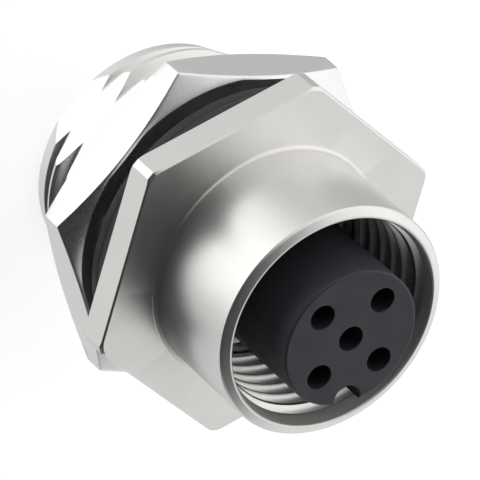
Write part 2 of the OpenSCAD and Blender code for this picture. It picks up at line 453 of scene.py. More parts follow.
SATIN_NICKEL = Plating("satin_nickel", colour=(0.84, 0.83, 0.81), handled=(0.81, 0.80, 0.78),
                       roughness=(0.30, 0.34), grain_mm=0.06, grain_depth=1.0, turned_depth=0.25,
                       mouth=DullMouth(radius=6.34, height=18.6, added=0.35))
BRIGHT_NICKEL = Plating("bright_nickel", colour=(0.89, 0.89, 0.88), handled=(0.86, 0.86, 0.85),
                        roughness=(0.26, 0.31), grain_mm=0.08, grain_depth=0.7, turned_depth=0.2)
GOLD = Plating("contact_gold", colour=(0.86, 0.66, 0.30), handled=(0.80, 0.60, 0.26),
               roughness=(0.16, 0.26), grain_mm=0.05, grain_depth=0.6, turned_depth=0.5)
GASKET_RUBBER = Moulding("gasket_rubber", colour=(0.022, 0.022, 0.024), handled=(0.034, 0.034, 0.036),
                         roughness=(0.5, 0.68), grain_mm=0.07, bump_mm=0.006)
INSERT_PLASTIC = Moulding("insert_plastic", colour=(0.031, 0.028, 0.041), handled=(0.037, 0.034, 0.047),
                          roughness=(0.42, 0.55), grain_mm=0.05, bump_mm=0.004)
RETAINER_PLASTIC = Moulding("retainer_plastic", colour=(0.040, 0.040, 0.043),
                            handled=(0.052, 0.052, 0.055), roughness=(0.45, 0.6),
                            grain_mm=0.06, bump_mm=0.005)


# Mesh helpers


def circle(radius: float, height: float, count: int = COLUMNS) -> Loop:
    """Returns one ring of points round the axis, in millimetres."""
    turn = np.arange(count) * (2 * math.pi / count)
    return np.stack([radius * np.cos(turn), radius * np.sin(turn), np.full(count, height)], axis=1)


def ray(angle: float) -> np.ndarray:
    """Returns a step of length 1 along an angle in radians."""
    return np.array([math.cos(angle), math.sin(angle)])


def rounded(profile: Sequence[tuple[float, float, float]], steps: int = 4) -> list[tuple[float, float]]:
    """Rounds the corners of an open profile.

    Args:
        profile: radius, height and rounding of each corner, in millimetres.
        steps: segments in each rounding.

    Returns:
        Radius and height of each point.
    """
    points = [np.array(p[:2], float) for p in profile]
    out: list[tuple[float, float]] = []
    for i, (here, corner) in enumerate(zip(points, profile)):
        if corner[2] <= 0 or i in (0, len(points) - 1):
            out.append((float(here[0]), float(here[1])))
            continue
        back, on = points[i - 1] - here, points[i + 1] - here
        back, on = back / np.linalg.norm(back), on / np.linalg.norm(on)
        half = math.acos(float(np.clip(back @ on, -1, 1))) / 2
        reach = corner[2] / math.tan(half)
        middle = here + (back + on) / np.linalg.norm(back + on) * (corner[2] / math.sin(half))
        first, last = here + back * reach - middle, here + on * reach - middle
        angle = math.acos(float(np.clip(first @ last / corner[2] ** 2, -1, 1)))
        for k in range(steps + 1):
            t = k / steps
            arm = (math.sin((1 - t) * angle) * first + math.sin(t * angle) * last) / math.sin(angle)
            out.append((float(middle[0] + arm[0]), float(middle[1] + arm[1])))
    return out


def put_in_scene(name: str, data: bpy.types.ID) -> bpy.types.Object:
    """Makes an object of a mesh, camera or lamp and links it to the scene.

    Args:
        name: its name.
        data: what it shows.

    Returns:
        The new object.
    """
    obj = bpy.data.objects.new(name, data)
    bpy.context.scene.collection.objects.link(obj)
    return obj


def to_object(name: str, build: bmesh.types.BMesh) -> bpy.types.Object:
    """Turns a shape under construction into an object.

    Args:
        name: its name.
        build: the shape, which is freed.

    Returns:
        The new object.
    """
    mesh = bpy.data.meshes.new(name)
    build.to_mesh(mesh)
    build.free()
    return put_in_scene(name, mesh)


def skin_loops(build: bmesh.types.BMesh, loops: Sequence[Loop],
               closed: bool) -> list[list[bmesh.types.BMVert]]:
    """Joins loops of points by four-sided faces.

    Args:
        build: the shape under construction.
        loops: rings of points in millimetres, in order along the surface.
        closed: whether the last loop joins the first.

    Returns:
        The new points, ring by ring.
    """
    rows = [[build.verts.new(Vector(p) * MM) for p in loop] for loop in loops]
    pairs = list(zip(rows, rows[1:])) + ([(rows[-1], rows[0])] if closed else [])
    for low, high in pairs:
        for j in range(len(low)):
            k = (j + 1) % len(low)
            build.faces.new((low[j], low[k], high[k], high[j]))
    return rows


def loops_to_mesh(name: str, loops: Sequence[Loop], closed: bool,
                  extra: Iterable[bpy.types.Mesh] = ()) -> bpy.types.Object:
    """Skins loops of points into one mesh and merges it with others.

    Args:
        name: name of the new object.
        loops: rings of points in millimetres, in order along the surface.
        closed: whether the last loop joins the first.
        extra: finished meshes in metres that complete the surface.

    Returns:
        The new object.
    """
    build = bmesh.new()
    skin_loops(build, loops, closed)
    for mesh in extra:
        build.from_mesh(mesh)
    bmesh.ops.remove_doubles(build, verts=build.verts, dist=SEAM_MM * MM)
    bmesh.ops.dissolve_degenerate(build, edges=build.edges, dist=SLIVER_MM * MM)
    bmesh.ops.recalc_face_normals(build, faces=build.faces)
    return to_object(name, build)


def turned_solid(name: str, profile: Sequence[tuple[float, float]], at: tuple[float, float],
                 count: int) -> bpy.types.Object:
    """Makes a turned solid with flat ends.

    Args:
        name: its name.
        profile: radius and height of its points, from low to high, in millimetres.
        at: where its axis stands.
        count: points in each ring.

    Returns:
        The closed solid.
    """
    build = bmesh.new()
    shift = np.array([*at, 0.0])
    rings = skin_loops(build, [circle(radius, height, count) + shift for radius, height in profile], False)
    build.faces.new(rings[0][::-1])
    build.faces.new(rings[-1])
    return to_object(name, build)


def block(name: str, low: Point, high: Point) -> bpy.types.Object:
    """Makes a solid with flat sides.

    Args:
        name: its name.
        low: its lowest corner, in millimetres.
        high: its highest corner.

    Returns:
        The closed solid.
    """
    build = bmesh.new()
    bmesh.ops.create_cube(build, size=1.0)
    first, last = Vector(low) * MM, Vector(high) * MM
    for vert in build.verts:
        vert.co = Vector(tuple(last[i] if vert.co[i] > 0 else first[i] for i in range(3)))
    return to_object(name, build)


def plain(obj: bpy.types.Object) -> None:
    """Turns an object with modifiers into its evaluated plain mesh.

    Args:
        obj: the object, which keeps its name.
    """
    graph = bpy.context.evaluated_depsgraph_get()
    graph.update()
    mesh = bpy.data.meshes.new_from_object(obj.evaluated_get(graph), depsgraph=graph)
    obj.modifiers.clear()
    old = obj.data
    obj.data = mesh
    mesh.name = obj.name
    if old.users == 0:
        bpy.data.meshes.remove(old)


def cut_away(obj: bpy.types.Object, tools: Sequence[bpy.types.Object]) -> None:
    """Cuts closed solids out of a closed piece, and removes them.

    Args:
        obj: the piece.
        tools: the solids.
    """
    for tool in tools:
        modifier = obj.modifiers.new(tool.name, "BOOLEAN")
        modifier.operation = "DIFFERENCE"
        modifier.solver = "EXACT"
        modifier.object = tool
    plain(obj)
    for tool in tools:
        bpy.data.objects.remove(tool)


def shade(obj: bpy.types.Object, finish: bpy.types.Material, sharp_deg: float,
          ridge: Ridge | None = None) -> bpy.types.Object:
    """Flags a piece's sharp edges and dresses it.

    Args:
        obj: the piece.
        finish: its material.
        sharp_deg: edges that turn more than this stay sharp.
        ridge: says of an edge that turns less whether it stays sharp too.

    Returns:
        The same object.
    """
    build = bmesh.new()
    build.from_mesh(obj.data)
    bmesh.ops.remove_doubles(build, verts=build.verts, dist=FINE_SEAM_MM * MM)
    bmesh.ops.dissolve_degenerate(build, edges=build.edges, dist=FINE_SLIVER_MM * MM)
    limit = math.radians(sharp_deg)
    for edge in build.edges:
        soft = len(edge.link_faces) == 2 and edge.calc_face_angle(math.pi) < limit
        edge.smooth = soft and not (ridge and ridge(edge))
    for face in build.faces:
        face.smooth = True
    open_edges = sum(1 for edge in build.edges if len(edge.link_faces) != 2)
    build.to_mesh(obj.data)
    build.free()
    obj.data.materials.clear()
    obj.data.materials.append(finish)
    obj.data.polygons.foreach_set("material_index", [0] * len(obj.data.polygons))
    obj.modifiers.new("weigh", "WEIGHTED_NORMAL").keep_sharp = True
    plain(obj)
    LOG.info("%s: %d faces, %d open edges", obj.name, len(obj.data.polygons), open_edges)
    return obj


# Threads by Geometry Nodes


@dataclass(frozen=True)
class Thread:
    """One thread: lengths in millimetres, its start angle in radians, flats in shares of the pitch.

    A cone trims it, with entry_radius at entry_height and entry_slope along the axis. The thread fades into
    its crest radius from fade_from to fade_to, and above its first ridge from begin_from to begin_to. The
    last two lie beyond its end unless they are given.
    """

    columns: int = COLUMNS
    rows_per_turn: int = 16
    turns: int = 8
    pitch: float = 1.0
    low_end: float = 0.0
    high_end: float = 8.0
    start_angle: float = 0.0
    crest_radius: float = 7.6
    root_radius: float = 6.9
    crest_share: float = 0.12
    root_share: float = 0.12
    roundness: float = 0.5
    entry_height: float = 0.0
    entry_radius: float = 7.0
    entry_slope: float = 0.6
    fade_from: float = 7.0
    fade_to: float = 7.5
    begin_from: float = 90.0
    begin_to: float = 91.0
    bored: bool = False


class ThreadCutter:
    """A Geometry Nodes tree that makes the skin of a cut thread, open at both ends.

    Rows of points follow the helix, so that crests and roots are clean lines, and both ends are flat rings.
    NUDGE, in turns, keeps a whole turn from being read as the end of the one before. STEP_BACK is how much
    more steeply the first ridge goes down on the far side than it climbs elsewhere.
    """

    KINDS: dict[type, str] = {int: "NodeSocketInt", float: "NodeSocketFloat", bool: "NodeSocketBool"}
    MERGE_MM: float = 0.001
    NUDGE: float = 0.0001
    STEP_BACK: float = 5.0

    def __init__(self) -> None:
        """Builds the tree, with an input for each size of a thread and one for its finish."""
        self.tree = bpy.data.node_groups.new("cut_thread", "GeometryNodeTree")
        self.sockets: dict[str, str] = {}
        face = self.tree.interface
        face.new_socket("Geometry", in_out="INPUT", socket_type="NodeSocketGeometry")
        for size in fields(Thread):
            kind = self.KINDS[size.type]
            socket = face.new_socket(self._label(size.name), in_out="INPUT", socket_type=kind)
            socket.default_value = size.default
            self.sockets[size.name] = socket.identifier
        finish = face.new_socket("Finish", in_out="INPUT", socket_type="NodeSocketMaterial")
        self.sockets["finish"] = finish.identifier
        face.new_socket("Geometry", in_out="OUTPUT", socket_type="NodeSocketGeometry")
        self.desk = Desk(self.tree)
        self.given = self.desk.add("NodeGroupInput").outputs
        self._lay()

    @staticmethod
    def _label(name: str) -> str:
        """Returns the input's name in the tree for a size of a thread."""
        return name.replace("_", " ").capitalize()

    def _lay(self) -> None:
        """Lays the nodes, from a flat grid to the finished skin."""
        desk, given = self.desk, self.given
        # The grid has one column more than a turn needs, and two turns more than the length: both merge away
        rows = desk.math("MULTIPLY", desk.math("ADD", given["Turns"], 2.0), given["Rows per turn"])
        grid = desk.add("GeometryNodeMeshGrid")
        desk.feed(grid.inputs["Vertices X"], desk.math("ADD", given["Columns"], 1.0))
        desk.feed(grid.inputs["Vertices Y"], desk.math("ADD", rows, 1.0))
        grid.inputs["Size X"].default_value = 1.0
        grid.inputs["Size Y"].default_value = 1.0
        x, y, _ = desk.split(desk.add("GeometryNodeInputPosition").outputs[0])
        column = desk.math("ROUND", desk.math("MULTIPLY", desk.math("ADD", x, 0.5), given["Columns"]))
        across = desk.math("DIVIDE", column, given["Columns"])
        row = desk.math("ROUND", desk.math("MULTIPLY", desk.math("ADD", y, 0.5), rows))
        turned = desk.math("DIVIDE", row, given["Rows per turn"])
        height = self._height(across, turned)
        radius = desk.math("MULTIPLY", self._radius(across, turned, height), MM)
        angle = desk.math("MULTIPLY", across, 2 * math.pi)
        spot = desk.add("ShaderNodeCombineXYZ")
        desk.feed(spot.inputs[0], desk.math("MULTIPLY", radius, desk.math("COSINE", angle)))
        desk.feed(spot.inputs[1], desk.math("MULTIPLY", radius, desk.math("SINE", angle)))
        desk.feed(spot.inputs[2], desk.math("MULTIPLY", height, MM))
        moved = desk.add("GeometryNodeSetPosition")
        desk.feed(moved.inputs["Geometry"], grid.outputs["Mesh"])
        desk.feed(moved.inputs["Position"], spot.outputs[0])
        merged = desk.add("GeometryNodeMergeByDistance")
        desk.feed(merged.inputs["Geometry"], moved.outputs[0])
        merged.inputs["Distance"].default_value = self.MERGE_MM * MM
        real = desk.add("GeometryNodeRealizeInstances")
        desk.feed(real.inputs[0], merged.outputs[0])
        dressed = desk.add("GeometryNodeSetMaterial")
        desk.feed(dressed.inputs["Geometry"], real.outputs[0])
        desk.feed(dressed.inputs["Material"], given["Finish"])
        desk.feed(desk.add("NodeGroupOutput").inputs[0], dressed.outputs[0])

    def _height(self, across: Socket, turned: Socket) -> Socket:
        """Works out each point's height on the helix, held between the two ends.

        Args:
            across: share of a turn round the axis.
            turned: turns up the helix.

        Returns:
            The height, in millimetres.
        """
        desk, given = self.desk, self.given
        shift = desk.math("DIVIDE", given["Start angle"], 2 * math.pi)
        climb = desk.math("SUBTRACT", desk.math("ADD", turned, across), desk.math("ADD", shift, 1.0))
        free = desk.math("MULTIPLY_ADD", climb, given["Pitch"], given["Low end"])
        return desk.math("MAXIMUM", desk.math("MINIMUM", free, given["High end"]), given["Low end"])

    def _radius(self, across: Socket, turned: Socket, height: Socket) -> Socket:
        """Works out each point's distance from the axis.

        Args:
            across: share of a turn round the axis.
            turned: turns up the helix.
            height: its height.

        Returns:
            The distance, in millimetres.
        """
        desk, given = self.desk, self.given
        cut = self._section(turned)
        fade = desk.math("MAXIMUM", desk.ramp(height, given["Fade from"], given["Fade to"]),
                         self._begin(across, height))
        faded = desk.math("MULTIPLY_ADD", fade, desk.math("SUBTRACT", given["Crest radius"], cut), cut)
        above = desk.math("SUBTRACT", height, given["Entry height"])
        cone = desk.math("MULTIPLY_ADD", above, given["Entry slope"], given["Entry radius"])
        # The cone opens a bored thread outward, and turns the crests of an outer one down
        choice = desk.add("GeometryNodeSwitch", input_type="FLOAT")
        desk.feed(choice.inputs[0], given["Bored"])
        desk.feed(choice.inputs[1], desk.math("MINIMUM", faded, cone))
        desk.feed(choice.inputs[2], desk.math("MAXIMUM", faded, cone))
        return choice.outputs[0]

    def _section(self, turned: Socket) -> Socket:
        """Works out the thread's section: a wave between root and crest, flat at both.

        Args:
            turned: turns up the helix.

        Returns:
            The section's distance from the axis, in millimetres.
        """
        desk, given = self.desk, self.given
        phase = desk.math("FRACT", desk.math("ADD", turned, self.NUDGE))
        wave = desk.math("ABSOLUTE", desk.math("MULTIPLY_ADD", phase, 2.0, -1.0))
        span = desk.math("SUBTRACT", desk.math("SUBTRACT", 1.0, given["Crest share"]), given["Root share"])
        flank = desk.add("ShaderNodeClamp")
        rise = desk.math("SUBTRACT", wave, given["Root share"])
        desk.feed(flank.inputs[0], desk.math("DIVIDE", rise, span))
        straight = flank.outputs[0]
        bend = desk.math("SUBTRACT", desk.ramp(straight, 0.0, 1.0), straight)
        share = desk.math("MULTIPLY_ADD", bend, given["Roundness"], straight)
        depth = desk.math("SUBTRACT", given["Crest radius"], given["Root radius"])
        return desk.math("MULTIPLY_ADD", share, depth, given["Root radius"])

    def _begin(self, across: Socket, height: Socket) -> Socket:
        """Works out how far the thread has faded out above its first ridge.

        Args:
            across: share of a turn round the axis.
            height: the point's height.

        Returns:
            0 where the thread is whole, and 1 where nothing is left of it.
        """
        desk, given = self.desk, self.given
        # The ridge climbs along the helix, and steps back down on the side of -X
        side = desk.math("SUBTRACT", desk.math("FRACT", desk.math("ADD", across, 0.5)), 0.5)
        down_before = desk.math("MULTIPLY", desk.math("ADD", side, 0.5), -self.STEP_BACK)
        down_after = desk.math("MULTIPLY", desk.math("SUBTRACT", 0.5, side), self.STEP_BACK)
        lean = desk.math("MAXIMUM", desk.math("MINIMUM", side, down_after), down_before)
        begun = desk.math("SUBTRACT", height, desk.math("MULTIPLY", lean, given["Pitch"]))
        return desk.ramp(begun, given["Begin from"], given["Begin to"])

    def cut(self, name: str, finish: bpy.types.Material, thread: Thread) -> bpy.types.Mesh:
        """Makes one thread's skin as a plain mesh.

        Args:
            name: the mesh's name.
            finish: its material.
            thread: its sizes.

        Returns:
            The mesh, in metres.
        """
        obj = put_in_scene(name, bpy.data.meshes.new(name))
        modifier = obj.modifiers.new("thread", "NODES")
        modifier.node_group = self.tree
        modifier[self.sockets["finish"]] = finish
        for size in fields(thread):
            modifier[self.sockets[size.name]] = getattr(thread, size.name)
        graph = bpy.context.evaluated_depsgraph_get()
        graph.update()
        result = bpy.data.meshes.new_from_object(obj.evaluated_get(graph), depsgraph=graph)
        bpy.data.objects.remove(obj)
        return result


# The connector's pieces


@dataclass
class Housing:
    """The turned housing: threaded barrel, hexagonal flange and coupling sleeve."""

    crest_r: float = 7.6
    root_r: float = 6.93
    chamfer_len: float = 2.3
    barrel_pitch: float = 1.41
    barrel_start: float = 0.58
    thread_top: float = 9.5
    barrel_fade: tuple[float, float] = (0.8, 0.1)
    flat_x: float = -6.8
    flat_gap: float = 0.01
    bore_r: float = 6.05
    bore_chamfer: float = 0.25
    flange_z: float = 10.7
    flange_t: float = 1.9
    flange_af: float = 18.5
    turned_r: float = 10.548
    corner_edge: float = 0.16
    flat_edge: float = 0.1
    fillet: float = 0.25
    sleeve_r: float = 6.925
    rim_z: float = 19.5
    rim_edge: tuple[float, float] = (6.925, 19.2)
    rim_shoulder: tuple[float, float] = (6.83, 19.34)
    rim_sink: float = 0.005
    land_r: float = 6.45
    mouth_r: float = 6.36
    mouth_bevel: float = 0.07
    lead_r: float = 6.08
    lead_z: float = 18.57
    coupling_crest_r: float = 5.86
    coupling_root_r: float = 6.42
    coupling_pitch: float = 1.07
    coupling_start: float = 1.527
    coupling_low: float = 11.8
    coupling_fade: tuple[float, float] = (0.9, 0.2)
    coupling_begin: tuple[float, float] = (-0.02, 0.23)
    floor_z: float = 11.2
    floor_soft: float = 0.1
    web_r: float = 4.45
    web_z: float = 10.0
    web_soft: float = 0.05
    shoulder_soft: float = 0.05
    mouth_soft: float = 0.02
    soft: float = 0.03
    sharp_deg: float = 26.0
    flat_sharp_deg: float = 2.0

    def _corner_end_deg(self) -> float:
        """Returns where the turned corner ends and the flange's flat begins, in degrees from the corner."""
        return 30.0 - math.degrees(math.acos(self.flange_af / 2 / self.turned_r))

    def _flange_loop(self, on_face: bool, front: bool) -> Loop:
        """Returns one of the two loops that bound a broken edge of the flange.

        Args:
            on_face: whether it lies on the flange's face, and not on its sides.
            front: whether it belongs to the front edge.

        Returns:
            The loop, in millimetres.
        """
        flat, corner = self.flange_af / 2, self.turned_r
        meet = self._corner_end_deg()
        # A sector begins in the middle of a turned corner, and its other points run along the flat
        step = np.arange(COLUMNS) % SECTOR
        base = np.arange(COLUMNS) // SECTOR * 60.0
        inner = meet + (step - 1) * (60.0 - 2 * meet) / (SECTOR - 2)
        degrees = base + np.where(step == 0, 0.0, inner)
        offset = np.radians((degrees % 60.0) - 30.0)
        reach = np.minimum(flat / np.cos(offset), corner)
        broken = np.clip(reach - (corner - self.corner_edge), self.flat_edge, self.corner_edge)
        none = np.zeros(COLUMNS)
        inset, sink = (broken, none) if on_face else (none, broken)
        radius = np.minimum((flat - inset) / np.cos(offset), corner - inset)
        z = self.flange_z + self.flange_t - sink if front else self.flange_z + sink
        turn = np.radians(degrees)
        return np.stack([radius * np.cos(turn), radius * np.sin(turn), z], axis=1)

    def _ridge(self, edge: bmesh.types.BMEdge) -> bool:
        """Says whether an edge bounds the milled flat or a turned corner of the flange.

        Args:
            edge: the edge, with its points in metres.

        Returns:
            True where it stays sharp.
        """
        points = [vert.co / MM for vert in edge.verts]
        if all(abs(p.x - self.flat_x) < FINE_SEAM_MM for p in points):
            return edge.calc_face_angle(math.pi) > math.radians(self.flat_sharp_deg)
        meet = self._corner_end_deg()
        turns = [(math.degrees(math.atan2(p.y, p.x)) + 30.0) % 60.0 - 30.0 for p in points]
        far = all(math.hypot(p.x, p.y) > self.flange_af / 2 for p in points)
        return far and all(abs(abs(turn) - meet) < SAME_DEG for turn in turns)

    def _barrel_thread(self) -> Thread:
        """Sets the rear thread: it rises out of the lead-in taper and fades out before the flange.

        Returns:
            The thread.
        """
        return Thread(rows_per_turn=18, pitch=self.barrel_pitch, high_end=self.thread_top,
                      start_angle=self.barrel_start, crest_radius=self.crest_r, root_radius=self.root_r,
                      crest_share=0.1, root_share=0.06, roundness=0.4, entry_radius=self.root_r,
                      entry_slope=(self.crest_r - self.root_r) / self.chamfer_len,
                      fade_from=self.thread_top - self.barrel_fade[0],
                      fade_to=self.thread_top - self.barrel_fade[1])

    def _coupling_thread(self, mouth_r: float, mouth_z: float) -> Thread:
        """Sets the sleeve's thread: it begins in the dull lead-in and fades out above the socket's floor.

        Its crests and pitch are drawn as in the photograph, 5 and 7 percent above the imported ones.

        Args:
            mouth_r: radius at the inner end of the mouth's bevel.
            mouth_z: height there.

        Returns:
            The thread.
        """
        return Thread(rows_per_turn=20, pitch=self.coupling_pitch, low_end=self.coupling_low,
                      high_end=mouth_z, start_angle=self.coupling_start,
                      crest_radius=self.coupling_crest_r, root_radius=self.coupling_root_r,
                      crest_share=0.12, root_share=0.3, entry_height=mouth_z, entry_radius=mouth_r,
                      entry_slope=(mouth_r - self.lead_r) / (mouth_z - self.lead_z),
                      fade_from=self.coupling_low + self.coupling_fade[0],
                      fade_to=self.coupling_low + self.coupling_fade[1],
                      begin_from=self.lead_z + self.coupling_begin[0],
                      begin_to=self.lead_z + self.coupling_begin[1], bored=True)

    def _outside(self, mouth_r: float, mouth_z: float) -> list[Loop]:
        """Draws the outside, from the top of the rear thread over the flange and sleeve into the mouth.

        Args:
            mouth_r: radius at the inner end of the mouth's bevel.
            mouth_z: height there.

        Returns:
            Its loops, in millimetres.
        """
        front = self.flange_z + self.flange_t
        loops = [circle(self.crest_r, self.thread_top), circle(self.crest_r, self.flange_z)]
        loops += [self._flange_loop(on_face, False) for on_face in (True, False)]
        loops += [self._flange_loop(on_face, True) for on_face in (False, True)]
        # The first point only gives the fillet its direction
        profile = rounded([(self.flange_af / 2, front, 0), (self.sleeve_r, front, self.fillet),
                           (*self.rim_edge, self.soft), (*self.rim_shoulder, self.shoulder_soft),
                           (self.land_r, self.rim_z - self.rim_sink, self.soft),
                           (self.mouth_r, self.rim_z, self.mouth_soft), (mouth_r, mouth_z, 0)])
        return loops + [circle(r, z) for r, z in profile[1:]]

    def _inside(self) -> list[Loop]:
        """Draws the inside, from the foot of the coupling thread through the web to the rear end.

        Returns:
            Its loops, in millimetres.
        """
        rear_bevel_r = self.bore_r + self.bore_chamfer
        profile = rounded([(self.coupling_crest_r, self.coupling_low, 0),
                           (self.coupling_crest_r, self.floor_z, self.floor_soft),
                           (self.web_r, self.floor_z, self.soft), (self.web_r, self.web_z, self.soft),
                           (self.bore_r, self.web_z, self.web_soft),
                           (self.bore_r, self.bore_chamfer, self.soft),
                           (rear_bevel_r, 0.0, self.soft), (self.root_r, 0.0, 0)])
        return [circle(r, z) for r, z in profile]

    def build(self, cutter: ThreadCutter, finish: bpy.types.Material) -> bpy.types.Object:
        """Builds the housing.

        Args:
            cutter: makes the threads.
            finish: its plating.

        Returns:
            The housing as one closed mesh.
        """
        mouth_r, mouth_z = self.mouth_r - self.mouth_bevel, self.rim_z - self.mouth_bevel
        barrel = cutter.cut("barrel_thread", finish, self._barrel_thread())
        coupling = cutter.cut("coupling_thread", finish, self._coupling_thread(mouth_r, mouth_z))
        inside = loops_to_mesh("housing_bore", self._inside(), False)
        outside = self._outside(mouth_r, mouth_z)
        obj = loops_to_mesh("housing_turned", outside, False, (barrel, coupling, inside.data))
        bpy.data.objects.remove(inside)
        reach = self.crest_r + PAST_MM
        low, high = (-reach, -reach, -PAST_MM), (self.flat_x, reach, self.flange_z - self.flat_gap)
        cut_away(obj, [block("keying_flat", low, high)])
        return shade(obj, finish, self.sharp_deg, self._ridge)


@dataclass
class LockNut:
    """The hexagonal lock nut, bevelled on both faces."""

    af: float = 18.3
    thickness: float = 2.73
    base_z: float = 5.67
    turn_deg: float = 31.6
    bore_r: float = 7.65
    countersink: float = 0.35
    land: float = 0.15
    face_r: float = 9.075
    face_band: float = 0.1
    face_soft: float = 0.012
    bevel_h: float = 0.7
    corner_round: float = 0.12
    least_round: float = 0.02
    edge: float = 0.06
    edge_shares: tuple[tuple[float, float], ...] = ((3.0, 0.0), (1.0, 0.0), (0.3, 0.25), (0.0, 1.0))
    corner_step_deg: float = 15.0
    sharp_deg: float = 35.0

    def outline(self, inset: float) -> np.ndarray:
        """Draws the hexagon with rounded corners.

        Args:
            inset: how far it is drawn in, in millimetres.

        Returns:
            X and Y of each point, in millimetres.
        """
        soft = max(self.corner_round - inset, self.least_round)
        centre = (self.af / 2 - inset - soft) / math.cos(math.pi / 6)
        # Five points of each sector lie on two corners' roundings, and the others between them
        span = SECTOR - 4
        step = math.radians(self.corner_step_deg)
        points: list[np.ndarray] = []
        for sector in range(6):
            corner, following = (math.radians(self.turn_deg + 60 * k) for k in (sector, sector + 1))
            here, there = ray(corner) * centre, ray(following) * centre
            side = ray(corner + math.pi / 6) * soft
            points += [here + soft * ray(corner + step * k) for k in (0, 1, 2)]
            points += [here + (there - here) * (k / span) + side for k in range(1, span)]
            points += [there + soft * ray(following + step * k) for k in (-2, -1)]
        return np.array(points)

    def _arris(self, inset: float, drop: float, top: bool) -> Loop:
        """Draws a loop along the edge between bevel and flats.

        Args:
            inset: how far inside the flats it lies.
            drop: how far below the bevel's cone it lies.
            top: whether it is the front edge.

        Returns:
            The loop, in millimetres.
        """
        flat = self.outline(inset)
        corner = self.af / 2 / math.cos(math.pi / 6)
        slope = self.bevel_h / (corner - self.face_r)
        down = (np.linalg.norm(flat, axis=1) - self.face_r) * slope + drop
        z = self.base_z + self.thickness - down if top else self.base_z + down
        return np.column_stack([flat, z])

    def _ring(self, radius: float, down: float, top: bool) -> Loop:
        """Draws a round loop, with points that match the hexagon's.

        Args:
            radius: its radius.
            down: how far below the face it lies.
            top: whether it belongs to the front face.

        Returns:
            The loop, in millimetres.
        """
        flat = self.outline(0.0)
        flat = flat / np.linalg.norm(flat, axis=1)[:, None] * radius
        z = self.base_z + self.thickness - down if top else self.base_z + down
        return np.column_stack([flat, np.full(len(flat), z)])

    def build(self, finish: bpy.types.Material) -> bpy.types.Object:
        """Builds the nut.

        Args:
            finish: its plating.

        Returns:
            The nut as one closed mesh.
        """
        mouth_r = self.bore_r + self.countersink
        rings = [(self.bore_r, self.countersink), (mouth_r, 0.0), (mouth_r + self.land, 0.0),
                 (self.face_r - self.face_band, 0.0), (self.face_r - self.face_soft, 0.0),
                 (self.face_r + self.face_soft, self.face_soft / 2)]
        edges = [(self.edge * inset, self.edge * drop) for inset, drop in self.edge_shares]
        loops: list[Loop] = []
        for top in (False, True):
            side = [self._ring(*ring, top) for ring in rings] + [self._arris(*edge, top) for edge in edges]
            loops += side[::-1] if top else side
        return shade(loops_to_mesh("lock_nut_bright", loops, True), finish, self.sharp_deg)


@dataclass
class Gasket:
    """The flat rubber ring behind the flange, with a fine parting line round its edge."""

    inner_r: float = 7.7
    outer_r: float = 9.0
    low: float = 9.22
    high: float = 10.69
    soft: float = 0.22
    inner_soft: float = 0.1
    parting_half: float = 0.04
    parting_depth: float = 0.03
    sharp_deg: float = 60.0

    def build(self, finish: bpy.types.Material) -> bpy.types.Object:
        """Builds the gasket.

        Args:
            finish: its rubber.

        Returns:
            The gasket as one closed mesh.
        """
        middle = (self.low + self.high) / 2
        profile = rounded([(self.inner_r, middle, 0), (self.inner_r, self.low, self.inner_soft),
                           (self.outer_r, self.low, self.soft), (self.outer_r, middle - self.parting_half, 0),
                           (self.outer_r - self.parting_depth, middle, 0),
                           (self.outer_r, middle + self.parting_half, 0),
                           (self.outer_r, self.high, self.soft),
                           (self.inner_r, self.high, self.inner_soft), (self.inner_r, middle, 0)], 5)
        loops = [circle(r, z) for r, z in profile[:-1]]
        return shade(loops_to_mesh("gasket_ring", loops, True), finish, self.sharp_deg)


